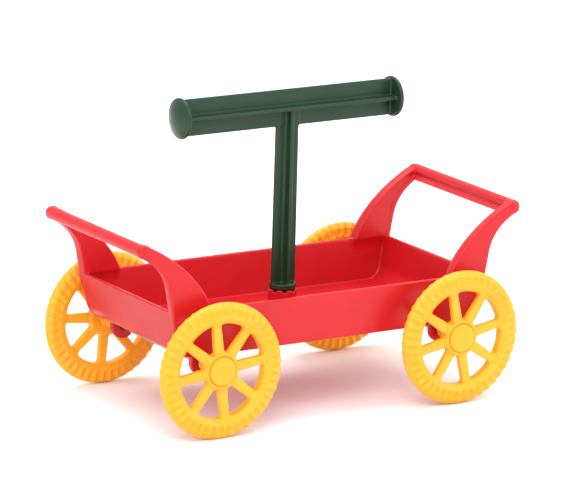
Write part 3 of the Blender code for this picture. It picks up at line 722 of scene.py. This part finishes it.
# ---------------------------------------------------------------- metal pieces
def turned(name, profile, segments=48, axis="Y"):
    """A closed turned piece from (radius, place along the axis) points."""
    points = []
    for radius, along in profile:
        for k in range(segments):
            a = 2 * math.pi * k / segments
            ring = (radius * math.cos(a), radius * math.sin(a))
            points.append((ring[0], along, ring[1]) if axis == "Y" else (ring[0], ring[1], along))
    faces = []
    rows = len(profile)
    for row in range(rows):
        following = (row + 1) % rows
        for k in range(segments):
            n = (k + 1) % segments
            here = row * segments
            there = following * segments
            faces.append((here + k, here + n, there + n, there + k))
    mesh = bpy.data.meshes.new(name)
    mesh.from_pydata(points, [], faces)
    return settled(mesh)


def settled(mesh):
    """Merge the points on the axis, turn faces outward and keep only true corners sharp."""
    bm = bmesh.new()
    bm.from_mesh(mesh)
    bmesh.ops.remove_doubles(bm, verts=bm.verts, dist=0.000002)
    bmesh.ops.dissolve_degenerate(bm, edges=bm.edges, dist=0.000002)
    bmesh.ops.recalc_face_normals(bm, faces=bm.faces)
    bm.to_mesh(mesh)
    bm.free()
    mesh.polygons.foreach_set("use_smooth", np.ones(len(mesh.polygons), bool))
    mesh.set_sharp_from_angle(angle=math.radians(38))
    return mesh


def tube_profile(inner, outer, start, end, ease):
    """Section of a ring with eased outer corners."""
    return [(inner, start), (outer - ease, start), (outer, start + ease),
            (outer, end - ease), (outer - ease, end), (inner, end)]


def rod_profile(radius, half, ease):
    """Section of a straight rod with rounded ends."""
    return [(0.0, -half), (radius - ease, -half), (radius - ease * 0.3, -half + ease * 0.3),
            (radius, -half + ease), (radius, half - ease), (radius - ease * 0.3, half - ease * 0.3),
            (radius - ease, half), (0.0, half)]


axle_radius = (axle_high.z - axle_low.z) / 2
BORE = axle_radius + 0.0003
for tag, end in (("front", 1), ("rear", -1)):
    line = Matrix.Translation((end * AXLE_X, 0.0, AXLE_Z))
    show("steel_axle_" + tag, turned("steel_axle_" + tag, rod_profile(axle_radius, axle_high.y, 0.0007)),
         steel, "wagon_body", "axle_" + tag, line)
    for hand, side in (("left", 1), ("right", -1)):
        label = tag + "_" + hand
        facing = line @ Matrix.Rotation(0.0 if side > 0 else math.pi, 4, "Z")
        low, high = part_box("axle_spacer_front_left")
        show("spacer_ring_" + label,
             turned("spacer_ring_" + label,
                    tube_profile(BORE, (high.z - low.z) / 2, low.y, high.y, 0.0005)),
             steel, "wagon_body", "axle_spacer_" + label, facing)
        low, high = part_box("push_nut_front_left")
        outer = (high.z - low.z) / 2
        mid = (low.y + high.y) / 2
        show("push_nut_ring_" + label,
             turned("push_nut_ring_" + label, [
                 (BORE, low.y), (outer - 0.0002, low.y), (outer, low.y + 0.0002), (outer, mid - 0.0001),
                 (outer - 0.0003, mid), (outer * 0.66, mid + 0.0001),
                 (outer * 0.58, high.y), (BORE, high.y)]),
             steel, "wagon_body", "push_nut_" + label, facing)
low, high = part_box("handle_lock_washer")
show("lock_washer_disc",
     turned("lock_washer_disc", tube_profile(0.0020, (high.x - low.x) / 2, low.z, high.z, 0.0003), 48, "Z"),
     steel, "wagon_body", "handle_lock_washer")

screw_low, screw_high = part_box("handle_lock_screw")
SCREW_HEAD_RADIUS = (screw_high.x - screw_low.x) / 2
SCREW_HEAD_TOP = low.z - CLEARANCE
SCREW_SHANK = 0.0015
THREAD_DEPTH = 0.0002
THREAD_PITCH = 0.0012
CROSS_HALF = 0.00045
CROSS_DEPTH = 0.0012
CROSS_ARM = 0.0021
CROSS_EDGE = 0.0002
SCREW_HEAD_EDGE = 0.0010
SCREW_MARGIN = 0.001


def screw_shape(x, y, z):
    """Pan head screw with a cross recess and a coarse thread."""
    out = np.hypot(x, y)
    thread = THREAD_DEPTH * np.cos(np.arctan2(y, x) - 2 * math.pi * z / THREAD_PITCH)
    head = rounded(out - SCREW_HEAD_RADIUS, np.maximum(screw_low.z - z, z - SCREW_HEAD_TOP), SCREW_HEAD_EDGE)
    shank_ends = np.maximum(screw_low.z + SCREW_MARGIN - z, z - screw_high.z)
    shank = np.maximum(out - SCREW_SHANK - thread, shank_ends)
    arms = np.minimum(np.maximum(np.abs(x) - CROSS_HALF, np.abs(y) - CROSS_ARM),
                      np.maximum(np.abs(y) - CROSS_HALF, np.abs(x) - CROSS_ARM))
    return cut(np.minimum(head, shank), np.maximum(arms, z - screw_low.z - CROSS_DEPTH), CROSS_EDGE)


show("cross_head_screw",
     moulded("cross_head_screw", screw_shape,
             (-SCREW_HEAD_RADIUS - SCREW_MARGIN, -SCREW_HEAD_RADIUS - SCREW_MARGIN,
              screw_low.z - SCREW_MARGIN),
             (SCREW_HEAD_RADIUS + SCREW_MARGIN, SCREW_HEAD_RADIUS + SCREW_MARGIN,
              screw_high.z + SCREW_MARGIN),
             0.00015, 40000, reach=0.0001),
     steel, "wagon_body", "handle_lock_screw")

# ---------------------------------------------------------------- floor, light and camera
def plain_floor():
    """Wide pale floor under the wagon, gently mottled."""
    mesh = bpy.data.meshes.new("floor")
    half = 12.0
    corners = [(-half, -half, 0), (half, -half, 0), (half, half, 0), (-half, half, 0)]
    mesh.from_pydata(corners, [], [(0, 1, 2, 3)])
    floor = bpy.data.objects.new("floor", mesh)
    bpy.context.scene.collection.objects.link(floor)
    mat = bpy.data.materials.new("pale_floor")
    mat.use_nodes = True
    tree = mat.node_tree
    shader = tree.nodes["Principled BSDF"]
    shader.inputs["Roughness"].default_value = 0.9
    shader.inputs["Specular IOR Level"].default_value = 0.0
    noise = tree.nodes.new("ShaderNodeTexNoise")
    noise.inputs["Scale"].default_value = 3.0
    tones = tree.nodes.new("ShaderNodeValToRGB")
    tones.color_ramp.elements[0].color = (0.93, 0.93, 0.93, 1.0)
    tones.color_ramp.elements[1].color = (0.96, 0.96, 0.96, 1.0)
    tree.links.new(noise.outputs["Fac"], tones.inputs["Fac"])
    tree.links.new(tones.outputs["Color"], shader.inputs["Base Color"])
    mesh.materials.append(mat)


def soft_light(name, place, toward, width, height, power):
    """A large rectangular studio light."""
    data = bpy.data.lights.new(name, "AREA")
    data.shape = "RECTANGLE"
    data.size = width
    data.size_y = height
    data.energy = power
    light = bpy.data.objects.new(name, data)
    bpy.context.scene.collection.objects.link(light)
    light.location = place
    light.rotation_mode = "QUATERNION"
    light.rotation_quaternion = (Vector(toward) - Vector(place)).to_track_quat("-Z", "Y")


def aimed_camera(azimuth, elevation, roll, distance, target, lens):
    """Camera at the given view, aimed at target."""
    a = math.radians(azimuth)
    e = math.radians(elevation)
    r = math.radians(roll)
    back = Vector((math.sin(a) * math.cos(e), -math.cos(a) * math.cos(e), math.sin(e)))
    level = (-back).cross(Vector((0, 0, 1))).normalized()
    upward = level.cross(-back)
    right = level * math.cos(r) + upward * math.sin(r)
    up = upward * math.cos(r) - level * math.sin(r)
    data = bpy.data.cameras.new("camera")
    data.sensor_width = 36.0
    data.lens = lens
    data.clip_start = 0.1
    data.clip_end = 100.0
    camera = bpy.data.objects.new("camera", data)
    bpy.context.scene.collection.objects.link(camera)
    turn_to = Matrix((right, up, back)).transposed().to_4x4()
    camera.matrix_world = Matrix.Translation(Vector(target) + back * distance) @ turn_to
    bpy.context.scene.camera = camera


plain_floor()
CENTRE = (0.0, 0.0, 0.10)
soft_light("key", (-1.1, -1.3, 1.7), CENTRE, 1.3, 1.3, 29.0)
soft_light("fill", (1.8, -1.2, 0.9), CENTRE, 1.5, 1.5, 14.0)
soft_light("top", (0.1, 0.4, 2.0), CENTRE, 1.6, 1.6, 28.0)
world = bpy.data.worlds.new("studio")
world.use_nodes = True
world.node_tree.nodes["Background"].inputs["Color"].default_value = (1.0, 1.0, 1.0, 1.0)
world.node_tree.nodes["Background"].inputs["Strength"].default_value = 1.0
bpy.context.scene.world = world
bpy.context.scene.view_settings.view_transform = "Standard"
bpy.context.scene.view_settings.look = "None"
aimed_camera(-32.4348, 14.0433, 1.6233, 3.26053, (0.00036, 0.0, 0.10335), 304.18)
